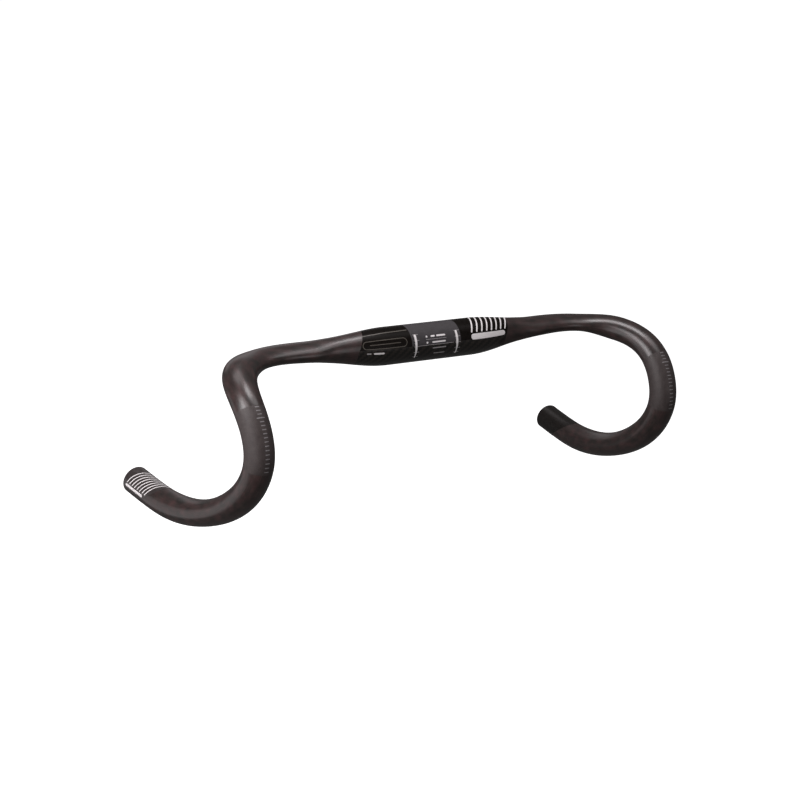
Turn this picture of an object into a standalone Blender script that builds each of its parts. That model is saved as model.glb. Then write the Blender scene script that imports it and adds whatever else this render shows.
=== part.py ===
"""Carbon road drop handlebar, 31.8 mm clamp, compact bend.

Frame: origin at the middle of the stem clamp, +X to the rider's left, -Y forwards,
+Z up, with the bar in its riding attitude (lower grips level).

The half bar is described by stations along its centreline, measured in millimetres
from the middle. Heading and dive angles give the direction of the centreline,
half heights and half depths give the oval section. Every tube, sleeve and film is
lofted along that one centreline, so all pieces nest inside each other. The right
half is the mirror image of the left half.
"""

import math

import bmesh
import bpy
from mathutils import Vector

MM = 0.001
OBJECT_NAME = "drop_handlebar"

# Centreline directions: (distance from the middle in mm, angle in degrees).
# Heading 0 points outwards along +X and 90 points forwards.
HEADING = [(0, 0), (40, 0), (70, -2.5), (117, -2.5), (269, 95), (485, 95)]
# Dive 0 is level, 90 points straight down and 180 points backwards.
DIVE = [(0, 0), (40, 0), (70, -1.2), (117, -1.2), (193, 3), (269, 64), (299, 109),
        (329, 134), (360, 148), (390, 159), (424, 171), (455, 181), (485, 183)]
HOOK_TILT = 1.0

# Oval section: (distance from the middle in mm, half size in mm).
HALF_HEIGHT = [(0, 15.9), (43, 15.9), (95, 10.2), (117, 7.8), (163, 6.9), (201, 10.3),
               (239, 10.5), (282, 11.6), (323, 11.6), (377, 10.8), (435, 11.7), (485, 11.7)]
HALF_DEPTH = [(0, 15.9), (43, 15.9), (95, 11.8), (117, 13.5), (163, 12.6), (201, 13.6),
              (239, 12.6), (282, 11.9), (323, 12.0), (377, 11.9), (435, 11.9), (485, 11.9)]

BAR_END = 485.0
SHOULDER_START = 117.0
SHOULDER_END = 269.0

# Thicknesses in mm, measured inwards from the outer surface.
WALL = 2.3
FILM = 0.3
GAP = 0.3
POCKET = FILM + GAP
SLEEVE_OUTER = WALL + GAP
SLEEVE_INNER = WALL + GAP + 1.4
EDGE = 0.4

# Distances along the half bar in mm.
CLAMP_BAND_END = 25.0
LABEL_END = 74.0
LABEL_GAP = 0.6
HOOK_JOINT = 100.0
SLEEVE_REACH = 16.0
LEVER_BAND = (246.0, 290.0)
END_BAND_START = 455.0

SEGMENTS = 24
OUTER_STEP = 9.5
INNER_STEP = 18.0
STRAIGHT_END = 40.0


# ---------------------------------------------------------------- curves

def knot_slopes(knots):
    """Slopes for a curve through the knots that never overshoots them."""
    gaps = []
    rates = []
    for (x0, y0), (x1, y1) in zip(knots, knots[1:]):
        gaps.append(x1 - x0)
        rates.append((y1 - y0) / (x1 - x0))
    slopes = [0.0]
    for i in range(1, len(knots) - 1):
        before = rates[i - 1]
        after = rates[i]
        if before * after <= 0.0:
            slopes.append(0.0)
            continue
        w0 = 2.0 * gaps[i] + gaps[i - 1]
        w1 = gaps[i] + 2.0 * gaps[i - 1]
        slopes.append((w0 + w1) / (w0 / before + w1 / after))
    slopes.append(0.0)
    return slopes


def curve_value(knots, x):
    """Smooth value at x of the curve through the knots."""
    slopes = knot_slopes(knots)
    last = len(knots) - 2
    i = 0
    while i < last and x > knots[i + 1][0]:
        i += 1
    x0, y0 = knots[i]
    x1, y1 = knots[i + 1]
    width = x1 - x0
    t = (x - x0) / width
    t = min(max(t, 0.0), 1.0)
    rise = t * t * (3.0 - 2.0 * t)
    value = y0 + (y1 - y0) * rise
    value += slopes[i] * width * t * (1.0 - t) * (1.0 - t)
    value -= slopes[i + 1] * width * t * t * (1.0 - t)
    return value


def directions(distance):
    """Tangent, up and side vectors of the centreline at a distance from the middle."""
    heading = math.radians(curve_value(HEADING, distance))
    dive = math.radians(curve_value(DIVE, distance))
    level = Vector((math.cos(heading), -math.sin(heading), 0.0))
    share = (distance - SHOULDER_START) / (SHOULDER_END - SHOULDER_START)
    share = min(max(share, 0.0), 1.0)
    tilt = math.radians(HOOK_TILT) * share * share * (3.0 - 2.0 * share)
    down = Vector((math.sin(tilt), 0.0, -math.cos(tilt)))
    down = (down - level * down.dot(level)).normalized()
    tangent = level * math.cos(dive) + down * math.sin(dive)
    up = level * math.sin(dive) - down * math.cos(dive)
    return tangent, up, tangent.cross(up)


def centreline_table():
    """Centreline points at every millimetre of the half bar."""
    points = [Vector((0.0, 0.0, 0.0))]
    for i in range(int(BAR_END)):
        middle = directions(i + 0.5)[0]
        points.append(points[-1] + middle)
    return points


CENTRELINE = centreline_table()


def section_at(distance):
    """Centre, up, side, half height and half depth at a signed distance."""
    side = -1.0 if distance < 0.0 else 1.0
    along = abs(distance)
    index = min(int(along), len(CENTRELINE) - 1)
    rest = along - index
    tangent, up, across = directions(along)
    centre = CENTRELINE[index] + directions(index + rest / 2.0)[0] * rest
    mirror = Vector((side, 1.0, 1.0))
    centre = centre * mirror
    up = up * mirror
    across = across * mirror
    return centre, up, across, curve_value(HALF_HEIGHT, along), curve_value(HALF_DEPTH, along)


def ring_points(distance, inset):
    """One oval ring of points, set in from the outer surface."""
    centre, up, across, half_height, half_depth = section_at(distance)
    points = []
    for i in range(SEGMENTS):
        turn = 2.0 * math.pi * i / SEGMENTS
        rise = up * ((half_height - inset) * math.cos(turn))
        reach = across * ((half_depth - inset) * math.sin(turn))
        points.append((centre + rise + reach) * MM)
    return points


# ---------------------------------------------------------------- profiles

def between(start, end, step):
    """Distances strictly between start and end, evenly spaced, none on the straight middle."""
    low = min(start, end)
    high = max(start, end)
    ranges = [(low, high)]
    if low < STRAIGHT_END and high > -STRAIGHT_END:
        ranges = [(low, -STRAIGHT_END), (STRAIGHT_END, high)]
    found = []
    for first, last in ranges:
        if last - first < 0.5:
            continue
        count = max(1, round((last - first) / step))
        for i in range(count + 1):
            value = first + (last - first) * i / count
            if low + 0.5 < value < high - 0.5:
                found.append(value)
    if start > end:
        found.reverse()
    return found


def run(start, end, inset, step):
    """Profile points at one inset from start to end, both ends included."""
    points = [(start, inset)]
    for value in between(start, end, step):
        points.append((value, inset))
    points.append((end, inset))
    return points


def stepped_run(breaks, step):
    """Profile points along a surface with pockets: (start, end, inset) pieces in order."""
    points = []
    for start, end, inset in breaks:
        points.extend(run(start, end, inset, step))
    return points


# ---------------------------------------------------------------- meshes

def principled(name, colour, roughness, metallic, coat=0.0):
    """A plain Principled material."""
    material = bpy.data.materials.new(name)
    material.use_nodes = True
    shader = material.node_tree.nodes["Principled BSDF"]
    shader.inputs["Base Color"].default_value = (*colour, 1.0)
    shader.inputs["Roughness"].default_value = roughness
    shader.inputs["Metallic"].default_value = metallic
    shader.inputs["Coat Weight"].default_value = coat
    material.diffuse_color = (*colour, 1.0)
    return material


def loft(name, profile, material, collection):
    """Solid of oval rings that follow a closed profile of (distance, inset) points."""
    mesh = bpy.data.meshes.new(name)
    bm = bmesh.new()
    rings = []
    for distance, inset in profile:
        rings.append([bm.verts.new(point) for point in ring_points(distance, inset)])
    count = len(rings)
    for r in range(count):
        ring = rings[r]
        following = rings[(r + 1) % count]
        for i in range(SEGMENTS):
            j = (i + 1) % SEGMENTS
            bm.faces.new((ring[i], ring[j], following[j], following[i]))
    bmesh.ops.recalc_face_normals(bm, faces=bm.faces[:])
    if bm.calc_volume(signed=True) < 0.0:
        bmesh.ops.reverse_faces(bm, faces=bm.faces[:])
    bm.to_mesh(mesh)
    bm.free()
    mesh.materials.append(material)
    piece = bpy.data.objects.new(name, mesh)
    collection.objects.link(piece)
    return piece


def film_profile(start, end, step=OUTER_STEP):
    """Closed profile of a film lying in its pocket."""
    low = start + GAP
    high = end - GAP
    return run(low, high, 0.0, step) + run(high, low, FILM, step)


# ---------------------------------------------------------------- the pieces

def build_centre_section(collection):
    """Moulded centre tube: clamp bulge and the tapering tops, open at both ends."""
    end = HOOK_JOINT - GAP / 2.0
    label_start = CLAMP_BAND_END + LABEL_GAP
    outer = stepped_run([
        (-end, -LABEL_END, 0.0),
        (-LABEL_END, -label_start, POCKET),
        (-label_start, -CLAMP_BAND_END, 0.0),
        (-CLAMP_BAND_END, CLAMP_BAND_END, POCKET),
        (CLAMP_BAND_END, label_start, 0.0),
        (label_start, LABEL_END, POCKET),
        (LABEL_END, end, 0.0),
    ], OUTER_STEP)
    inner = run(end, -end, WALL, OUTER_STEP)
    carbon = principled("centre_section_carbon", (0.045, 0.038, 0.036), 0.42, 0.0, 0.3)
    loft("centre_section", outer + inner, carbon, collection)


def build_hook(side_name, side, collection):
    """Moulded hook: shoulder bend, ramp, hook and lower grip, open at both ends."""
    start = side * (HOOK_JOINT + GAP / 2.0)
    end = side * BAR_END
    band_start = side * LEVER_BAND[0]
    band_end = side * LEVER_BAND[1]
    cap_start = side * END_BAND_START
    outer = stepped_run([
        (start, band_start, 0.0),
        (band_start, band_end, POCKET),
        (band_end, cap_start, 0.0),
        (cap_start, end, POCKET),
    ], OUTER_STEP)
    inner = run(end, start, WALL, INNER_STEP)
    carbon = principled(side_name + "_hook_carbon", (0.045, 0.038, 0.036), 0.42, 0.0, 0.3)
    loft(side_name + "_hook", outer + inner, carbon, collection)


def build_sleeve(side_name, side, collection):
    """Bonded sleeve inside the joint between the centre section and a hook."""
    start = side * (HOOK_JOINT - SLEEVE_REACH)
    end = side * (HOOK_JOINT + SLEEVE_REACH)
    profile = run(start, end, SLEEVE_OUTER, OUTER_STEP) + run(end, start, SLEEVE_INNER, OUTER_STEP)
    carbon = principled(side_name + "_sleeve_carbon", (0.03, 0.03, 0.03), 0.6, 0.0)
    loft(side_name + "_joint_sleeve", profile, carbon, collection)


def build_clamp_band(collection):
    """Grey anti-slip band round the clamp."""
    grit = principled("clamp_grit", (0.075, 0.072, 0.08), 0.7, 0.0)
    loft("clamp_grip_band", film_profile(-CLAMP_BAND_END, CLAMP_BAND_END), grit, collection)


def build_label(side_name, side, collection):
    """Gloss black label film beside the clamp."""
    start = CLAMP_BAND_END + LABEL_GAP
    gloss = principled(side_name + "_label_gloss", (0.012, 0.011, 0.01), 0.12, 0.0, 0.8)
    profile = [(side * d, inset) for d, inset in film_profile(start, LABEL_END)]
    loft(side_name + "_label_film", profile, gloss, collection)


def build_lever_band(side_name, side, collection):
    """Matt anti-slip band where the brake lever clamps on."""
    grit = principled(side_name + "_lever_grit", (0.06, 0.054, 0.054), 0.75, 0.0)
    profile = [(side * d, inset) for d, inset in film_profile(*LEVER_BAND)]
    loft(side_name + "_lever_grip_band", profile, grit, collection)


def build_end_band(side_name, side, collection):
    """Gloss black label film round the end of the lower grip."""
    low = END_BAND_START + GAP
    high = BAR_END - EDGE
    outer = run(low, high, 0.0, OUTER_STEP)
    inner = run(high, low, FILM, OUTER_STEP)
    gloss = principled(side_name + "_end_gloss", (0.012, 0.011, 0.01), 0.15, 0.0, 0.8)
    profile = [(side * d, inset) for d, inset in outer + inner]
    loft(side_name + "_end_film", profile, gloss, collection)


def build():
    """Build the whole handlebar in its own collection."""
    for old in list(bpy.data.objects):
        bpy.data.objects.remove(old, do_unlink=True)
    collection = bpy.data.collections.new(OBJECT_NAME)
    bpy.context.scene.collection.children.link(collection)
    build_centre_section(collection)
    build_clamp_band(collection)
    for side_name, side in (("left", 1.0), ("right", -1.0)):
        build_hook(side_name, side, collection)
        build_sleeve(side_name, side, collection)
        build_label(side_name, side, collection)
        build_lever_band(side_name, side, collection)
        build_end_band(side_name, side, collection)


build()
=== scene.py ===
"""Looks of the carbon drop handlebar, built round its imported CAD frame.

Same frame as the CAD: origin at the middle of the stem clamp, +X to the rider's left,
-Y forwards, +Z up. The surface of the bar is addressed by two numbers: the distance in
millimetres from the middle along the centreline (negative on the rider's right) and the
turn round the section in degrees. On the tops 0 is up, 90 forwards, 180 down and 270 back.
Round the hooks 0 is the outside of the curve, 90 the side that faces the other hook, 180
the inside of the curve and 270 the outer face, so on the lower grip 0 is underneath.
"""

import math

import bpy
import numpy as np
from mathutils import Matrix, Vector


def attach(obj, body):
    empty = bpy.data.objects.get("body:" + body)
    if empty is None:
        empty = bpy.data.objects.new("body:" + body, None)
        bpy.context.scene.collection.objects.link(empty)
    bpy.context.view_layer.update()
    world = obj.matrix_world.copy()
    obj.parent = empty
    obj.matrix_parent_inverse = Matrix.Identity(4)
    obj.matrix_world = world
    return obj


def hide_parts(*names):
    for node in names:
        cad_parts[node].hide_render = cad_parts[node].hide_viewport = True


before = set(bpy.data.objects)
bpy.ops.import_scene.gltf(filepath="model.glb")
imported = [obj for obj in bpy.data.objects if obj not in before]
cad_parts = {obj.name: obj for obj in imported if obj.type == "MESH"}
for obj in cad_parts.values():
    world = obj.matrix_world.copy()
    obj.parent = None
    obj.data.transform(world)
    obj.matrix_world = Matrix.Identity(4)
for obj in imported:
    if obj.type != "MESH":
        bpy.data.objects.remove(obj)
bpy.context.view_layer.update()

MM = 0.001
MM_PER_CM = 10.0

# ------------------------------------------------------------------ shape of the bar

# Centreline: (distance from the middle in mm, angle in degrees). The heading turns the bar
# forwards at the shoulder, and the dive turns it down and back round the hook.
HEADING = [(0, 0), (40, 0), (70, -2.5), (117, -2.5), (269, 95), (485, 95)]
DIVE = [(0, 0), (40, 0), (70, -1.2), (117, -1.2), (193, 3), (269, 64), (299, 109),
        (329, 134), (360, 148), (390, 159), (424, 171), (455, 181), (485, 183)]
HOOK_TILT = 1.0
SHOULDER = (117.0, 269.0)

# Oval section: (distance from the middle in mm, half size in mm).
HALF_HEIGHT = [(0, 15.9), (43, 15.9), (95, 10.2), (117, 7.8), (163, 6.9), (201, 10.3),
               (239, 10.5), (282, 11.6), (323, 11.6), (377, 10.8), (435, 11.7), (485, 11.7)]
HALF_DEPTH = [(0, 15.9), (43, 15.9), (95, 11.8), (117, 13.5), (163, 12.6), (201, 13.6),
              (239, 12.6), (282, 11.9), (323, 12.0), (377, 11.9), (435, 11.9), (485, 11.9)]

# Where the tubes and films begin or end, in mm from the middle. The clamp band is measured
# from the middle of the print, which lies a little to the rider's right.
PRINT_MIDDLE = -1.1
CLAMP_BAND = 25.0
LABEL_END = 75.0
JOINT = 100.0
LEVER_BAND = (246.0, 290.0)
END_BAND = 452.0
BAR_END = 485.0

# Wall thickness of the tubes, and the hairline left at a seam, in mm.
WALL = 2.3
SEAM = 0.02

# Fineness: mm between the points of the centreline, and faces round the bar.
CENTRE_STEP = 0.25
SEGMENTS = 112


def knot_slopes(xs, ys):
    """Slopes for a curve through the knots that never overshoots them."""
    gaps = np.diff(xs)
    rates = np.diff(ys) / gaps
    slopes = np.zeros(len(xs))
    for i in range(1, len(xs) - 1):
        before, after = rates[i - 1], rates[i]
        if before * after > 0.0:
            w0 = 2.0 * gaps[i] + gaps[i - 1]
            w1 = gaps[i] + 2.0 * gaps[i - 1]
            slopes[i] = (w0 + w1) / (w0 / before + w1 / after)
    return slopes


def curve(knots, x):
    """Smooth values at x of the curve through the knots."""
    xs = np.array([k[0] for k in knots], float)
    ys = np.array([k[1] for k in knots], float)
    slopes = knot_slopes(xs, ys)
    i = np.clip(np.searchsorted(xs, x, side="right") - 1, 0, len(xs) - 2)
    width = xs[i + 1] - xs[i]
    t = np.clip((x - xs[i]) / width, 0.0, 1.0)
    value = ys[i] + (ys[i + 1] - ys[i]) * t * t * (3.0 - 2.0 * t)
    value += slopes[i] * width * t * (1.0 - t) ** 2
    value -= slopes[i + 1] * width * t * t * (1.0 - t)
    return value


def directions(distance):
    """Tangent, up and side vectors at unsigned distances, as rows."""
    heading = np.radians(curve(HEADING, distance))
    dive = np.radians(curve(DIVE, distance))
    zero = np.zeros_like(heading)
    level = np.stack([np.cos(heading), -np.sin(heading), zero], 1)
    share = np.clip((distance - SHOULDER[0]) / (SHOULDER[1] - SHOULDER[0]), 0.0, 1.0)
    tilt = math.radians(HOOK_TILT) * share * share * (3.0 - 2.0 * share)
    down = np.stack([np.sin(tilt), zero, -np.cos(tilt)], 1)
    down -= level * np.sum(down * level, 1)[:, None]
    down /= np.linalg.norm(down, axis=1)[:, None]
    cos_dive = np.cos(dive)[:, None]
    sin_dive = np.sin(dive)[:, None]
    tangent = level * cos_dive + down * sin_dive
    up = level * sin_dive - down * cos_dive
    return tangent, up, np.cross(tangent, up)


# The centreline from the middle to the bar end: distances, and their points in mm.
CENTRE_AT = np.arange(0.0, BAR_END + CENTRE_STEP / 2.0, CENTRE_STEP)
CENTRE_POINTS = np.zeros((len(CENTRE_AT), 3))
CENTRE_POINTS[1:] = np.cumsum(
    directions(CENTRE_AT[:-1] + CENTRE_STEP / 2.0)[0] * CENTRE_STEP, axis=0)


def surface(distance, turn, lift=0.0):
    """Points in metres, lift mm above the bar's surface, at signed distances and turns."""
    distance, turn, lift = np.broadcast_arrays(
        np.asarray(distance, float), np.asarray(turn, float), np.asarray(lift, float))
    shape = distance.shape
    distance, turn, lift = distance.ravel(), np.radians(turn.ravel()), lift.ravel()
    along = np.abs(distance)
    _, up, across = directions(along)
    centre = np.stack([np.interp(along, CENTRE_AT, CENTRE_POINTS[:, k]) for k in range(3)], 1)
    rise = (curve(HALF_HEIGHT, along) + lift) * np.cos(turn)
    reach = (curve(HALF_DEPTH, along) + lift) * np.sin(turn)
    points = centre + up * rise[:, None] + across * reach[:, None]
    points[:, 0] *= np.where(distance < 0.0, -1.0, 1.0)
    return (points * MM).reshape(shape + (3,))


def mean_radius(distance):
    """Mean of the section's two half sizes, in mm, at signed distances."""
    along = np.abs(distance)
    return (curve(HALF_HEIGHT, along) + curve(HALF_DEPTH, along)) / 2.0


def mm_per_degree(distance):
    """Millimetres of surface in one degree of turn, at one distance."""
    return math.radians(float(mean_radius(np.array([distance]))[0]))


# ------------------------------------------------------------------ meshes

SHARP_ANGLE = 32.0
EVEN_TURNS = np.arange(SEGMENTS) * 360.0 / SEGMENTS


def finish_mesh(name, verts, faces, uvs, materials, slots=None):
    """Object with smooth shading, a pattern map in centimetres and its materials."""
    mesh = bpy.data.meshes.new(name)
    mesh.from_pydata(verts.tolist(), [], faces)
    layer = mesh.uv_layers.new(name="bar")
    layer.data.foreach_set("uv", np.asarray(uvs, np.float32).ravel())
    for material in materials:
        mesh.materials.append(material)
    if slots is not None:
        mesh.polygons.foreach_set("material_index", slots)
    mesh.shade_smooth()
    mesh.set_sharp_from_angle(angle=math.radians(SHARP_ANGLE))
    mesh.update()
    obj = bpy.data.objects.new(name, mesh)
    bpy.context.scene.collection.objects.link(obj)
    face_outwards(mesh)
    return obj


def face_outwards(mesh):
    """Turns a closed mesh inside out if its volume is negative."""
    mesh.calc_loop_triangles()
    corners = np.zeros(len(mesh.vertices) * 3)
    mesh.vertices.foreach_get("co", corners)
    triangles = np.zeros(len(mesh.loop_triangles) * 3, int)
    mesh.loop_triangles.foreach_get("vertices", triangles)
    p = corners.reshape(-1, 3)[triangles.reshape(-1, 3)]
    if np.sum(p[:, 0] * np.cross(p[:, 1], p[:, 2])) < 0.0:
        mesh.flip_normals()


def loft(name, profile, materials, slot_of=None, turns=EVEN_TURNS, end_shift=None):
    """Hollow solid of oval rings through a closed profile of (distance, lift) points.

    slot_of(profile index, turn) picks the material of a face. end_shift(distance, turn)
    slides points along the bar, for ends that are cut at a slant.
    """
    rows, columns = len(profile), len(turns)
    distance = np.repeat(np.array([p[0] for p in profile], float)[:, None], columns, 1)
    lift = np.repeat(np.array([p[1] for p in profile], float)[:, None], columns, 1)
    turn = np.repeat(turns[None, :], rows, 0)
    if end_shift is not None:
        distance = distance + end_shift(distance, turn)
    verts = surface(distance, turn, lift).reshape(-1, 3)
    along = distance / MM_PER_CM
    per_degree = np.radians(mean_radius(distance)) / MM_PER_CM
    faces, uvs, slots = [], [], []
    for i in range(rows):
        below = (i + 1) % rows
        for j in range(columns):
            nxt = (j + 1) % columns
            faces.append((i * columns + j, i * columns + nxt,
                          below * columns + nxt, below * columns + j))
            wrap = 360.0 if nxt == 0 else 0.0
            t0, t1 = turn[i, j], turn[i, nxt] + wrap
            g, h = per_degree[i, j], per_degree[below, j]
            uvs += [(along[i, j], t0 * g), (along[i, nxt], t1 * g),
                    (along[below, nxt], t1 * h), (along[below, j], t0 * h)]
            slots.append(0 if slot_of is None else slot_of(i, (t0 + t1) / 2.0 % 360.0))
    return finish_mesh(name, verts, faces, uvs, materials, slots)


def slab(name, distance, turn, top, bottom, material, loop=False):
    """Thin closed slab lying on the bar, over a grid of distances and turns.

    With loop, the last row joins the first one and the slab is a ring.
    """
    rows, columns = distance.shape
    lower = surface(distance, turn, bottom).reshape(-1, 3)
    upper = surface(distance, turn, top).reshape(-1, 3)
    verts = np.concatenate([upper, lower])
    count = rows * columns
    girth = np.radians(curve(HALF_HEIGHT, np.abs(distance)) * turn) / MM_PER_CM
    flat = np.stack([distance / MM_PER_CM, girth], 2).reshape(-1, 2)
    faces = []
    for i in range(rows if loop else rows - 1):
        for j in range(columns - 1):
            a, d = i * columns + j, (i + 1) % rows * columns + j
            b, c = a + 1, d + 1
            faces.append((a, b, c, d))
            faces.append((a + count, d + count, c + count, b + count))
    first = [i * columns for i in range(rows)]
    last = [i * columns + columns - 1 for i in range(rows)]
    if loop:
        rims = [last, first[::-1]]
    else:
        near = list(range(columns))
        far = [(rows - 1) * columns + j for j in range(columns)]
        rims = [near[:-1] + last[:-1] + far[:0:-1] + first[:0:-1]]
    for rim in rims:
        for k, a in enumerate(rim):
            b = rim[(k + 1) % len(rim)]
            faces.append((b, a, a + count, b + count))
    uvs = [flat[v % count] for f in faces for v in f]
    return finish_mesh(name, verts, faces, uvs, [material])


def span(start, end, step):
    """Evenly spaced values from start to end, both included, about a step apart."""
    count = max(1, round(abs(end - start) / step))
    return [start + (end - start) * i / count for i in range(count + 1)]


def run(start, end, lift, step):
    """Profile points at one lift."""
    return [(value, lift) for value in span(start, end, step)]


# ------------------------------------------------------------------ shapes of printed marks

# Ink stands this far above the bare tube, in mm, and reaches down into the film under it.
INK_TOP = 0.11
INK_BOTTOM = -0.05

# Where a round end's outline has points, and what keeps its tip from closing to nothing.
ROUND_STEPS = (0.0, 0.12, 0.3, 0.55, 0.8, 1.0)
TIP_SHARE = 0.02

RING_SIDE_STEPS = 30
RING_END_STEPS = 15


def ink_line(name, start, end, width, material, steps, top=INK_TOP, end_width=None):
    """Printed line from one (distance, turn) to another, with rounded ends.

    The line is straight in distance and turn. Its width, in mm, can taper from half way on.
    """
    start, end = np.array(start, float), np.array(end, float)
    end_width = width if end_width is None else end_width
    per_degree = mm_per_degree((start[0] + end[0]) / 2.0)
    way = np.array([end[0] - start[0], (end[1] - start[1]) * per_degree])
    length = float(np.hypot(*way))
    side = np.array([-way[1], way[0] / per_degree]) / length
    cap = min(width / 2.0 / length, 0.5)
    shares = [cap * r for r in ROUND_STEPS]
    far_end = [1.0 - cap * r for r in reversed(ROUND_STEPS)]
    if cap < 0.5:
        shares += [cap + (1.0 - 2.0 * cap) * i / steps for i in range(1, steps)] + far_end
    else:
        shares += far_end[1:]
    distance = np.zeros((len(shares), 3))
    turn = np.zeros((len(shares), 3))
    for i, share in enumerate(shares):
        near = min(min(share, 1.0 - share) / cap, 1.0)
        taper = max(0.0, 2.0 * share - 1.0)
        half = (width + (end_width - width) * taper) / 2.0
        half *= math.sqrt(max(1.0 - (1.0 - near) ** 2, TIP_SHARE))
        centre = start + (end - start) * share
        for j in range(3):
            distance[i, j], turn[i, j] = centre + side * half * (j - 1)
    return slab(name, distance, turn, top, INK_BOTTOM, material)


def ink_ring(name, low, high, width, material):
    """Printed outline of a capsule between two opposite (distance, turn) corners."""
    per_degree = mm_per_degree((low[0] + high[0]) / 2.0)
    centre = (low[1] + high[1]) / 2.0
    radius = (high[1] - low[1]) / 2.0 * per_degree
    left, right = low[0] + radius, high[0] - radius
    sides = [i / RING_SIDE_STEPS for i in range(RING_SIDE_STEPS)]
    heights = np.linspace(-1.0, 1.0, RING_END_STEPS + 1)[:-1]
    # Outline: distance, height from -1 to 1, and 1 or -1 where it bulges at a round end.
    path = [(left + (right - left) * share, -1.0, 0.0) for share in sides]
    path += [(right, height, 1.0) for height in heights]
    path += [(right + (left - right) * share, 1.0, 0.0) for share in sides]
    path += [(left, -height, -1.0) for height in heights]
    distance = np.zeros((len(path), 2))
    turn = np.zeros((len(path), 2))
    for i, (at, height, bulge) in enumerate(path):
        angle = height * math.pi / 2.0
        for j, reach in enumerate((radius - width / 2.0, radius + width / 2.0)):
            distance[i, j] = at + math.cos(angle) * reach * bulge
            turn[i, j] = centre + math.sin(angle) * reach / per_degree
    return slab(name, distance, turn, INK_TOP, INK_BOTTOM, material, loop=True)


# ------------------------------------------------------------------ material nodes

EVEN = (1.0, 1.0, 1.0)


def new_material(name):
    """Empty node material with its Principled shader."""
    material = bpy.data.materials.new(name)
    material.use_nodes = True
    tree = material.node_tree
    return material, tree, tree.nodes["Principled BSDF"]


def node(tree, kind, **settings):
    """Node of a kind with its properties set."""
    made = tree.nodes.new("ShaderNode" + kind)
    for key, value in settings.items():
        setattr(made, key, value)
    return made


def pattern_space(tree, scale=EVEN):
    """Pattern coordinates along and round the bar, in centimetres, scaled."""
    source = node(tree, "UVMap", uv_map="bar")
    mapping = node(tree, "Mapping")
    mapping.inputs["Scale"].default_value = scale
    tree.links.new(source.outputs["UV"], mapping.inputs["Vector"])
    return mapping.outputs["Vector"]


def noise(tree, vector, scale, detail, roughness):
    """Noise texture value."""
    texture = node(tree, "TexNoise")
    texture.inputs["Scale"].default_value = scale
    texture.inputs["Detail"].default_value = detail
    texture.inputs["Roughness"].default_value = roughness
    tree.links.new(vector, texture.inputs["Vector"])
    return texture.outputs["Fac"]


def ramp(tree, value, low, high, colours):
    """Colour ramp between two colours over a range of value."""
    made = node(tree, "ValToRGB")
    made.color_ramp.elements[0].position = low
    made.color_ramp.elements[1].position = high
    made.color_ramp.elements[0].color = (*colours[0], 1.0)
    made.color_ramp.elements[1].color = (*colours[1], 1.0)
    tree.links.new(value, made.inputs["Fac"])
    return made.outputs["Color"]


def spread(tree, value, low, high):
    """Maps a 0 to 1 value onto low to high."""
    made = node(tree, "MapRange")
    made.inputs["To Min"].default_value = low
    made.inputs["To Max"].default_value = high
    tree.links.new(value, made.inputs["Value"])
    return made.outputs["Result"]


def maths(tree, operation, a, b=None):
    """Math node on sockets or numbers."""
    made = node(tree, "Math", operation=operation)
    for socket, value in zip(made.inputs, (a, b)):
        if value is None:
            continue
        if isinstance(value, (int, float)):
            socket.default_value = value
        else:
            tree.links.new(value, socket)
    return made.outputs["Value"]


def mix_colours(tree, factor, first, second):
    """Mixes two colour sockets by a factor socket."""
    made = node(tree, "Mix", data_type="RGBA")
    tree.links.new(factor, made.inputs["Factor"])
    tree.links.new(first, made.inputs[6])
    tree.links.new(second, made.inputs[7])
    return made.outputs[2]


def multiply_colours(tree, first, second):
    """Multiplies two colour sockets."""
    made = node(tree, "Mix", data_type="RGBA", blend_type="MULTIPLY")
    made.inputs["Factor"].default_value = 1.0
    tree.links.new(first, made.inputs[6])
    tree.links.new(second, made.inputs[7])
    return made.outputs[2]


def bump(tree, shader, height, strength, distance):
    """Bump from a height socket into the shader's normal."""
    made = node(tree, "Bump")
    made.inputs["Strength"].default_value = strength
    made.inputs["Distance"].default_value = distance
    tree.links.new(height, made.inputs["Height"])
    tree.links.new(made.outputs["Normal"], shader.inputs["Normal"])


# ------------------------------------------------------------------ finishes

def carbon_satin():
    """Satin laminate: fibre streaks and warm mottling under a thin clear coat."""
    material, tree, shader = new_material("carbon_satin")
    streaks = noise(tree, pattern_space(tree, (0.35, 9.0, 1.0)), 2.2, 5.0, 0.62)
    clouds = noise(tree, pattern_space(tree, (0.8, 1.2, 1.0)), 1.1, 4.0, 0.55)
    flecks = noise(tree, pattern_space(tree, (0.55, 1.3, 1.0)), 1.9, 2.0, 0.45)
    fibres = ramp(tree, streaks, 0.32, 0.70, ((0.024, 0.0155, 0.0150), (0.046, 0.0315, 0.0305)))
    tone = ramp(tree, clouds, 0.35, 0.68, ((0.60, 0.67, 0.65), (1.34, 1.22, 1.21)))
    warmth = ramp(tree, flecks, 0.40, 0.62, ((0.83, 0.91, 0.88), (1.15, 1.02, 1.03)))
    toned = multiply_colours(tree, multiply_colours(tree, fibres, tone), warmth)
    tree.links.new(toned, shader.inputs["Base Color"])
    tree.links.new(spread(tree, clouds, 0.25, 0.38), shader.inputs["Roughness"])
    shader.inputs["Specular IOR Level"].default_value = 0.5
    shader.inputs["Coat Weight"].default_value = 0.25
    shader.inputs["Coat Roughness"].default_value = 0.22
    fine = noise(tree, pattern_space(tree), 34.0, 3.0, 0.6)
    height = maths(tree, "ADD", maths(tree, "MULTIPLY", streaks, 0.6), fine)
    bump(tree, shader, height, 0.10, 0.00008)
    return material


# Twill cloth: tows in a centimetre, tows in one repeat, and below which step of the repeat
# the bright tow lies on top, which is for two steps out of four.
TOWS = 5.5
TWILL_REPEAT = 4.0
TWILL_OVER = 1.5


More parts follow.
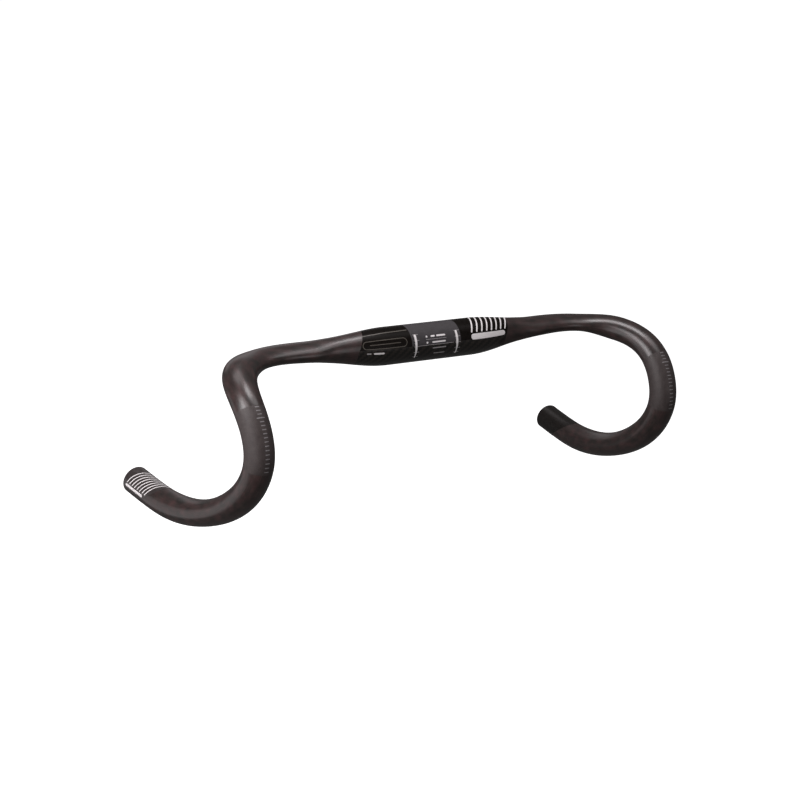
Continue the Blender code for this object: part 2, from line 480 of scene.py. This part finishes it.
def carbon_weave():
    """Twill cloth of flat tows under gloss clear coat."""
    material, tree, shader = new_material("carbon_weave_gloss")
    split = node(tree, "SeparateXYZ")
    tree.links.new(pattern_space(tree, (TOWS, TOWS, 1.0)), split.inputs["Vector"])
    along, around = split.outputs["X"], split.outputs["Y"]
    diagonal = maths(tree, "ADD", maths(tree, "FLOOR", along), maths(tree, "FLOOR", around))
    step = maths(tree, "FLOORED_MODULO", diagonal, TWILL_REPEAT)
    over = maths(tree, "LESS_THAN", step, TWILL_OVER)
    fibres = noise(tree, pattern_space(tree, (30.0, 3.0, 1.0)), 2.0, 3.0, 0.6)
    bright = ramp(tree, fibres, 0.3, 0.7, ((0.015, 0.0119, 0.0100), (0.027, 0.0218, 0.0184)))
    dark = ramp(tree, fibres, 0.3, 0.7, ((0.005, 0.0042, 0.0036), (0.010, 0.0085, 0.0074)))
    tree.links.new(mix_colours(tree, over, dark, bright), shader.inputs["Base Color"])
    tree.links.new(spread(tree, fibres, 0.30, 0.42), shader.inputs["Roughness"])
    shader.inputs["Specular IOR Level"].default_value = 0.25
    shader.inputs["Coat Weight"].default_value = 0.5
    shader.inputs["Coat Roughness"].default_value = 0.06
    arch_around = maths(tree, "MULTIPLY", maths(tree, "FRACT", around), math.pi)
    arch_along = maths(tree, "MULTIPLY", maths(tree, "FRACT", along), math.pi)
    crown = maths(tree, "MULTIPLY", maths(tree, "SINE", arch_around),
                  maths(tree, "SINE", arch_along))
    bump(tree, shader, crown, 0.12, 0.0001)
    return material


def gloss_label(name, dark, light, shine):
    """Dark label film with faint handling haze and a slightly wavy surface."""
    material, tree, shader = new_material(name)
    haze = noise(tree, pattern_space(tree), 3.0, 5.0, 0.6)
    tree.links.new(ramp(tree, haze, 0.3, 0.75, (dark, light)), shader.inputs["Base Color"])
    tree.links.new(spread(tree, haze, 0.22, 0.36), shader.inputs["Roughness"])
    shader.inputs["Specular IOR Level"].default_value = shine
    peel = noise(tree, pattern_space(tree), 9.0, 2.0, 0.5)
    bump(tree, shader, peel, 0.05, 0.0001)
    return material


def grit(name, dark, light, rough, grains_per_cm):
    """Anti-slip paint: fine grains of slightly different greys."""
    material, tree, shader = new_material(name)
    space = pattern_space(tree)
    grains = node(tree, "TexVoronoi", feature="F1")
    grains.inputs["Scale"].default_value = grains_per_cm
    tree.links.new(space, grains.inputs["Vector"])
    clouds = noise(tree, space, 2.2, 4.0, 0.55)
    mixed = maths(tree, "ADD", maths(tree, "MULTIPLY", grains.outputs["Distance"], 0.45),
                  maths(tree, "MULTIPLY", clouds, 0.6))
    tree.links.new(ramp(tree, mixed, 0.3, 0.72, (dark, light)), shader.inputs["Base Color"])
    tree.links.new(spread(tree, clouds, rough - 0.08, rough + 0.08), shader.inputs["Roughness"])
    shader.inputs["Specular IOR Level"].default_value = 0.4
    bump(tree, shader, grains.outputs["Distance"], 0.35, 0.00012)
    return material


def ink(name, dark, light):
    """Printed ink with slightly uneven cover."""
    material, tree, shader = new_material(name)
    cover = noise(tree, pattern_space(tree), 12.0, 4.0, 0.65)
    tree.links.new(ramp(tree, cover, 0.28, 0.62, (dark, light)), shader.inputs["Base Color"])
    tree.links.new(spread(tree, cover, 0.33, 0.48), shader.inputs["Roughness"])
    bump(tree, shader, cover, 0.08, 0.00005)
    return material


def cut_laminate():
    """Sawn tube end: thin plies showing as fine rings."""
    material, tree, shader = new_material("cut_laminate")
    plies = noise(tree, pattern_space(tree, (60.0, 2.0, 1.0)), 3.0, 3.0, 0.6)
    colour = ramp(tree, plies, 0.35, 0.65, ((0.012, 0.011, 0.010), (0.045, 0.041, 0.038)))
    tree.links.new(colour, shader.inputs["Base Color"])
    tree.links.new(spread(tree, plies, 0.55, 0.75), shader.inputs["Roughness"])
    bump(tree, shader, plies, 0.3, 0.0001)
    return material


def inner_wall():
    """Bare bore of the tube: rough resin with wrinkles from the moulding bladder."""
    material, tree, shader = new_material("bare_bore")
    wrinkles = noise(tree, pattern_space(tree, (0.5, 2.5, 1.0)), 2.4, 5.0, 0.6)
    colour = ramp(tree, wrinkles, 0.3, 0.7, ((0.008, 0.008, 0.008), (0.03, 0.029, 0.028)))
    tree.links.new(colour, shader.inputs["Base Color"])
    tree.links.new(spread(tree, wrinkles, 0.4, 0.7), shader.inputs["Roughness"])
    bump(tree, shader, wrinkles, 0.5, 0.0004)
    return material


CARBON = carbon_satin()
WEAVE = carbon_weave()
BLACK = gloss_label("label_black", (0.0060, 0.0048, 0.0040), (0.0095, 0.0078, 0.0068), 0.05)
# The two bar-end labels are one film. The right one gets a lighter brown base, which is painted
# sheen for the lamps that light that side; the left one keeps the film's near-black base.
END_BLACK = gloss_label(
    "end_label_black", (0.0080, 0.0065, 0.0058), (0.0130, 0.0106, 0.0096), 0.40)
END_LABEL_PAINTED_SHEEN = gloss_label(
    "end_label_painted_sheen", (0.0280, 0.0232, 0.0228), (0.0460, 0.0385, 0.0378), 0.45)
CLAMP_GRIT = grit(
    "clamp_grit_grey", (0.029, 0.0262, 0.0282), (0.051, 0.0468, 0.0502), 0.66, 26.0)
LEVER_GRIT = grit(
    "lever_grit_dark", (0.032, 0.0250, 0.0243), (0.059, 0.0472, 0.0457), 0.46, 30.0)
WHITE = ink("ink_white", (0.72, 0.70, 0.70), (0.86, 0.835, 0.835))
DIM_WHITE = ink("ink_dim_white", (0.22, 0.21, 0.21), (0.38, 0.365, 0.37))
OLIVE_GREY = ink("ink_olive_grey", (0.050, 0.044, 0.036), (0.088, 0.078, 0.064))
SCALE_GREY = ink("ink_scale_grey", (0.13, 0.122, 0.126), (0.23, 0.218, 0.223))
CUT = cut_laminate()
BORE = inner_wall()

# ------------------------------------------------------------------ tubes

OUTER_STEP = 2.0
INNER_STEP = 5.0
EDGE = 0.35


def place(piece, slot, *nodes):
    """Rides on the one body and stands for CAD nodes. The slot is not used."""
    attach(piece, "root")
    if nodes:
        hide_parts(*nodes)
    return piece


def make_tube(name, start, end, cad_node, open_end):
    """One moulded tube. open_end says that its far end is a visible, sawn bar end."""
    way = 1.0 if end > start else -1.0
    if open_end:
        outer = run(start, end - way * EDGE, 0.0, OUTER_STEP)
        ends = [(end, -EDGE)]
    else:
        outer = run(start, end, 0.0, OUTER_STEP)
        ends = []
    bore = run(end, start, -WALL, INNER_STEP)
    profile = outer + ends + bore
    first_end = len(outer) - 1
    first_bore = len(outer) + len(ends)
    last = len(profile) - 1

    def slot_of(i, turn):
        if i < first_end:
            return 0
        if i < first_bore or i == last:
            return 1
        return 2

    return place(loft(name, profile, [CARBON, CUT, BORE], slot_of), "carbon", cad_node)


make_tube("centre_tube", -JOINT + SEAM, JOINT - SEAM, "centre_section", False)
make_tube("left_hook_tube", JOINT + SEAM, BAR_END, "left_hook", True)
make_tube("right_hook_tube", -JOINT - SEAM, -BAR_END, "right_hook", True)

# The bonded sleeves inside the joints keep their CAD meshes and get the bare bore finish.
for name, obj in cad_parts.items():
    if name.endswith("joint_sleeve"):
        obj.data.materials.clear()
        obj.data.materials.append(BORE)

# ------------------------------------------------------------------ films

FILM_TOP = 0.05
FILM_BOTTOM = -0.12
FILM_STEP = 2.5
FILM_EDGE = 0.1

# Turns between which the films round the middle are clear and the cloth shows.
CENTRE_LINE_TURN = 78.0
PAINT_BACK_TURN = 232.0
CENTRE_TURN_STEP = 3.0

# One column of faces begins exactly on each paint boundary.
CENTRE_TURNS = np.array(
    span(CENTRE_LINE_TURN, PAINT_BACK_TURN, CENTRE_TURN_STEP)[:-1]
    + span(PAINT_BACK_TURN, 360.0 + CENTRE_LINE_TURN, CENTRE_TURN_STEP)[:-1])

# Slanted edges. A centre label leans so many mm for each degree above the centre line, over
# a limited range of turns, and a bar-end label leans so many mm either way. The lean dies
# out towards the label's other edge, which is square.
LABEL_LEAN = 0.095
LEAN_TURNS = (-10.0, 90.0)
LEAN_START = CLAMP_BAND + 3.0
END_LEAN = 13.5
END_LEAN_START = BAR_END - 2.0


def lower_is_weave(i, turn):
    """Material 1 underneath the bar, material 0 over its top."""
    return 1 if CENTRE_LINE_TURN < turn < PAINT_BACK_TURN else 0


def lean_label(distance, turn):
    """Leans the labels' far ends: the top of each lies further to the rider's left."""
    level = np.where(turn > 180.0, turn - 360.0, turn)
    far = np.clip((np.abs(distance) - LEAN_START) / (LABEL_END - LEAN_START), 0.0, 1.0)
    return far * np.clip(CENTRE_LINE_TURN - level, *LEAN_TURNS) * LABEL_LEAN


def lean_end_label(distance, turn):
    """Leans a bar-end label's inner edge: it reaches further along the top of the grip."""
    near = (END_LEAN_START - np.abs(distance)) / (END_LEAN_START - END_BAND)
    near = np.clip(near, 0.0, 1.0)
    return np.sign(distance) * near * END_LEAN * np.cos(np.radians(turn))


def film(name, start, end, slot, cad_node, materials, **looks):
    """Thin film all the way round the bar."""
    profile = run(start, end, FILM_TOP, FILM_STEP) + run(end, start, FILM_BOTTOM, FILM_STEP)
    return place(loft(name, profile, materials, **looks), slot, cad_node)


film("clamp_band", PRINT_MIDDLE - CLAMP_BAND, PRINT_MIDDLE + CLAMP_BAND, "clamp_grit",
     "clamp_grip_band", [CLAMP_GRIT, WEAVE], slot_of=lower_is_weave, turns=CENTRE_TURNS)

for side_name, side in (("left", 1.0), ("right", -1.0)):
    film(side_name + "_label", PRINT_MIDDLE + side * (CLAMP_BAND + SEAM), side * LABEL_END,
         "label_gloss", side_name + "_label_film", [BLACK, WEAVE],
         slot_of=lower_is_weave, turns=CENTRE_TURNS, end_shift=lean_label)

# The right bar-end label takes the copy with painted sheen.
for side_name, side, end_finish in (("left", 1.0, END_BLACK), ("right", -1.0, END_LABEL_PAINTED_SHEEN)):
    film(side_name + "_lever_band", side * LEVER_BAND[0], side * LEVER_BAND[1],
         "lever_grit", side_name + "_lever_grip_band", [LEVER_GRIT])
    film(side_name + "_end_label", side * END_BAND, side * (BAR_END - EDGE - FILM_EDGE),
         "label_gloss", side_name + "_end_film", [end_finish], end_shift=lean_end_label)

# ------------------------------------------------------------------ printed marks

STRIPES = 8

# Stem limit lines: mm from the middle of the print, the turns and widths of their two ends,
# and how far the lower end lies to the rider's left.
LIMIT_AT = 21.0
LIMIT_TURNS = (43.0, 119.0)
LIMIT_WIDTHS = (2.1, 0.8)
LIMIT_LEAN = 0.4

# Ticks across the limit lines: their turns, and their two ends in mm beside the line.
TICK_TURNS = (43.6, 62.0, 80.0, 98.0, 114.0)
TICK_REACH = (-2.2, 3.6)

# Width of the ticks and of the level line, and half the level line's length, in mm.
HAIRLINE = 0.4
LEVEL_HALF = 17.5

# Plain dots and dashes on the clamp band. Each row has its turn, width, ink, whether a dot
# leads it, and its dashes from and to in mm.
DOT_REACH = (-11.6, -9.9)
DOT_WIDTH = 1.7
NOTE_ROWS = (
    (53.5, 1.5, WHITE, True, ((-6.6, -2.4), (-0.8, 8.4))),
    (72.0, 1.3, WHITE, True, ((-5.6, 8.0),)),
    (90.0, 1.0, DIM_WHITE, False, ((-5.0, 8.6),)),
    (108.0, 0.9, DIM_WHITE, False, ((-3.2, 8.0),)),
)

# Lever scale: first tick and gap in mm, and how far each tick reaches in degrees.
SCALE_START = 247.2
SCALE_STEP = 2.55
SCALE_TICKS = 17
LONG_TICK = 3
LONG_REACH = 17.0
SHORT_REACH = 9.0

# Fans of stripes: the turns of a stripe's two ends, the first stripe's two ends in mm from
# the middle, and the gap to the next stripe at either end.
LABEL_STRIPE_TURNS = (57.0, -22.0)
LABEL_STRIPE_FIRST = (35.8, 44.6)
LABEL_STRIPE_GAPS = (5.38, 5.72)
END_STRIPE_TURNS = (259.0, 172.0)
END_STRIPE_FIRST = (479.2, 471.3)
END_STRIPE_GAPS = (-3.78, -4.15)


def mark(name, start, end, width, material, steps, **shape):
    """Printed line that rides on the bar."""
    return place(ink_line(name, start, end, width, material, steps, **shape), "label_gloss")


def centre_marks():
    """Stem limit lines with their ticks, the level line and plain dashes on the clamp band."""
    for side_name, side in (("left", 1.0), ("right", -1.0)):
        at = PRINT_MIDDLE + side * LIMIT_AT
        mark("clamp_limit_" + side_name, (at, LIMIT_TURNS[0]), (at + LIMIT_LEAN, LIMIT_TURNS[1]),
             LIMIT_WIDTHS[0], WHITE, 40, end_width=LIMIT_WIDTHS[1])
        for i, turn in enumerate(TICK_TURNS):
            start, end = at + TICK_REACH[0], at + TICK_REACH[1]
            mark(f"clamp_tick_{side_name}_{i}", (start, turn), (end, turn), HAIRLINE, DIM_WHITE,
                 6, top=INK_TOP - 0.03)
    start, end = PRINT_MIDDLE - LEVEL_HALF, PRINT_MIDDLE + LEVEL_HALF
    level = CENTRE_LINE_TURN + 1.5
    mark("clamp_level_line", (start, level), (end, level), HAIRLINE, DIM_WHITE, 30,
         top=INK_TOP - 0.04)
    for i, (turn, width, material, dotted, dashes) in enumerate(NOTE_ROWS):
        if dotted:
            start, end = DOT_REACH
            mark(f"clamp_note_dot_{i}", (start, turn), (end, turn), DOT_WIDTH, material, 4)
        for j, (start, end) in enumerate(dashes):
            mark(f"clamp_note_dash_{i}_{j}", (start, turn), (end, turn), width, material, 12)
    mark("clamp_note_rule", (-11.8, 62.5), (9.0, 62.5), 0.35, DIM_WHITE, 12)


def stripe_ends(i, first, gaps):
    """Distances of the two ends of the i-th stripe of a fan."""
    return first[0] + gaps[0] * i, first[1] + gaps[1] * i


def label_marks():
    """Stripes and plain bars on the two labels beside the clamp."""
    low, high = LABEL_STRIPE_TURNS
    for i in range(STRIPES):
        start, end = stripe_ends(i, LABEL_STRIPE_FIRST, LABEL_STRIPE_GAPS)
        mark(f"left_label_stripe_{i}", (start, low), (end, high), 1.3, WHITE, 30)
    mark("left_label_bar", (35.0, 70.0), (73.0, 70.0), 4.8, WHITE, 40)
    mark("right_label_pinstripe", (-71.5, 26.0), (-27.2, 23.5), 0.9, OLIVE_GREY, 30)
    outline = ink_ring("right_label_outline", (-72.0, 49.0), (-31.0, 75.0), 0.7, OLIVE_GREY)
    place(outline, "label_gloss")
    mark("right_label_inner_line", (-66.0, 62.0), (-37.0, 62.0), 0.7, OLIVE_GREY, 30)
    mark("right_label_dash_a", (-68.6, 90.0), (-64.6, 90.0), 1.2, DIM_WHITE, 4)
    mark("right_label_dash_b", (-62.4, 90.0), (-53.0, 90.0), 1.4, WHITE, 10)


def lever_scale(side_name, side):
    """Position scale for the brake lever on the front of the hook."""
    for i in range(SCALE_TICKS):
        at = side * (SCALE_START + SCALE_STEP * i)
        middle = 3.0 - 0.45 * i
        reach, width = (LONG_REACH, 0.75) if i == LONG_TICK else (SHORT_REACH, 0.6)
        mark(f"{side_name}_lever_tick_{i}", (at, middle - reach), (at, middle + reach), width,
             SCALE_GREY, 8)


def end_marks(side_name, side, last_turn):
    """Stripes, which stop at a turn, and a plain bar on the outer face of a bar-end label."""
    low, high = END_STRIPE_TURNS
    share = (low - last_turn) / (low - high)
    for i in range(STRIPES):
        start, end = stripe_ends(i, END_STRIPE_FIRST, END_STRIPE_GAPS)
        last = start + (end - start) * share
        mark(f"{side_name}_end_stripe_{i}", (side * start, low), (side * last, last_turn), 0.85,
             WHITE, 30)
    mark(side_name + "_end_bar", (side * 480.6, 269.5), (side * 455.5, 269.5), 2.4, WHITE, 24)


centre_marks()
label_marks()
for side_name, side, last_turn in (("left", 1.0, 214.0), ("right", -1.0, 157.0)):
    lever_scale(side_name, side)
    end_marks(side_name, side, last_turn)

# ------------------------------------------------------------------ floor, light, camera

FLOOR_Z = -0.55
FLOOR_HALF = 40.0
FLOOR_GLOW = 0.98
PURE_WHITE = (1.0, 1.0, 1.0, 1.0)
ROOM_STRENGTH = 0.09
LAMP_TINT = (1.0, 0.955, 0.97)

# Points that the lamps are aimed at, in metres.
MIDDLE = (0.0, 0.0, 0.0)
NEAR_HOOK = (-0.2, 0.0, 0.0)
NEAR_TOPS = (-0.13, 0.0, 0.0)

# Lamps: name, azimuth, elevation, distance in m, size in m, radiance and aim.
LAMPS = (
    ("softbox_top", 120.0, 77.0, 1.7, (0.54, 0.58), 8.9, MIDDLE),
    ("softbox_back", 180.0, 56.0, 1.7, (0.9, 0.7), 1.9, MIDDLE),
    ("softbox_front", -62.0, 58.0, 0.8, (0.46, 0.44), 4.2, NEAR_HOOK),
    ("strip_left", -84.0, 44.0, 0.78, (0.28, 0.46), 6.2, NEAR_HOOK),
    ("fill_left", -72.0, 6.0, 0.9, (1.3, 0.95), 1.75, NEAR_HOOK),
    ("fill_low", -122.0, -24.0, 0.9, (1.0, 0.7), 0.62, NEAR_HOOK),
    ("fill_behind", 166.0, 9.0, 1.7, (1.3, 0.42), 0.45, MIDDLE),
    ("fill_right", 22.0, 15.0, 1.7, (0.5, 0.9), 1.4, MIDDLE),
    ("lamp_tops", 76.0, 58.0, 1.1, (0.5, 0.5), 2.1, NEAR_TOPS),
)

# Camera: degrees round, above and rolled, distance in m, and then in picture widths its
# focal length and how far right of and above the picture's centre the bar's middle shows.
CAMERA_AZIMUTH = -37.04
CAMERA_ELEVATION = 20.72
CAMERA_ROLL = 7.05
CAMERA_FAR = 1.4731
CAMERA_FOCAL = 2.201
MIDDLE_RIGHT = 0.03339
MIDDLE_ABOVE = 0.07371
SENSOR_MM = 36.0


def floor_material():
    """Matt floor that glows a little, so that it stays evenly pale."""
    material, _, shader = new_material("floor_pale")
    shader.inputs["Base Color"].default_value = (0.8, 0.8, 0.8, 1.0)
    shader.inputs["Roughness"].default_value = 0.9
    shader.inputs["Specular IOR Level"].default_value = 0.0
    shader.inputs["Emission Color"].default_value = PURE_WHITE
    shader.inputs["Emission Strength"].default_value = FLOOR_GLOW
    return material


def make_floor():
    """Plain pale floor well below the bar. It is kept out of the bar's reflections."""
    half = FLOOR_HALF
    mesh = bpy.data.meshes.new("floor")
    corners = [(-half, -half, 0), (half, -half, 0), (half, half, 0), (-half, half, 0)]
    mesh.from_pydata(corners, [], [(0, 1, 2, 3)])
    mesh.materials.append(floor_material())
    floor = bpy.data.objects.new("floor", mesh)
    floor.location = (0.0, 0.0, FLOOR_Z)
    floor.visible_diffuse = False
    floor.visible_glossy = False
    bpy.context.scene.collection.objects.link(floor)


def make_room():
    """Dim even room light, with a white backdrop that only the camera sees."""
    world = bpy.data.worlds.new("studio")
    world.use_nodes = True
    tree = world.node_tree
    room = tree.nodes["Background"]
    room.inputs["Color"].default_value = PURE_WHITE
    room.inputs["Strength"].default_value = ROOM_STRENGTH
    backdrop = node(tree, "Background")
    backdrop.inputs["Color"].default_value = PURE_WHITE
    backdrop.inputs["Strength"].default_value = 1.0
    rays = node(tree, "LightPath")
    either = node(tree, "MixShader")
    tree.links.new(rays.outputs["Is Camera Ray"], either.inputs["Fac"])
    tree.links.new(room.outputs["Background"], either.inputs[1])
    tree.links.new(backdrop.outputs["Background"], either.inputs[2])
    tree.links.new(either.outputs["Shader"], tree.nodes["World Output"].inputs["Surface"])
    bpy.context.scene.world = world
    bpy.context.scene.view_settings.view_transform = "Standard"


def direction(azimuth, elevation):
    """Unit vector: azimuth 0 is in front of the bar and 90 on the rider's left."""
    azimuth, elevation = math.radians(azimuth), math.radians(elevation)
    level = math.cos(elevation)
    return Vector((math.sin(azimuth) * level, -math.cos(azimuth) * level,
                   math.sin(elevation)))


def make_lamp(name, azimuth, elevation, far, size, radiance, aim):
    """Rectangular soft light aimed at a point of the bar, unseen by the camera."""
    data = bpy.data.lights.new(name, "AREA")
    data.shape = "RECTANGLE"
    data.size, data.size_y = size
    data.energy = radiance * math.pi * size[0] * size[1]
    data.color = LAMP_TINT
    light = bpy.data.objects.new(name, data)
    towards = direction(azimuth, elevation)
    light.location = Vector(aim) + towards * far
    light.rotation_mode = "QUATERNION"
    light.rotation_quaternion = (-towards).to_track_quat("-Z", "Y")
    light.visible_camera = False
    bpy.context.scene.collection.objects.link(light)


def make_camera():
    """Camera in front of the bar on the rider's right, a little above it."""
    azimuth, roll = math.radians(CAMERA_AZIMUTH), math.radians(CAMERA_ROLL)
    back = direction(CAMERA_AZIMUTH, CAMERA_ELEVATION)
    right = Vector((math.cos(azimuth), math.sin(azimuth), 0.0))
    up = back.cross(right)
    tilted_right = right * math.cos(roll) + up * math.sin(roll)
    tilted_up = up * math.cos(roll) - right * math.sin(roll)
    aside = tilted_right * (MIDDLE_RIGHT / CAMERA_FOCAL)
    above = tilted_up * (MIDDLE_ABOVE / CAMERA_FOCAL)
    stand = (back - aside - above) * CAMERA_FAR
    data = bpy.data.cameras.new("camera")
    data.sensor_width = SENSOR_MM
    data.lens = SENSOR_MM * CAMERA_FOCAL
    camera = bpy.data.objects.new("camera", data)
    turn = Matrix((tilted_right, tilted_up, back)).transposed().to_4x4()
    camera.matrix_world = Matrix.Translation(stand) @ turn
    bpy.context.scene.collection.objects.link(camera)
    bpy.context.scene.camera = camera


make_floor()
make_room()
for lamp in LAMPS:
    make_lamp(*lamp)
make_camera()
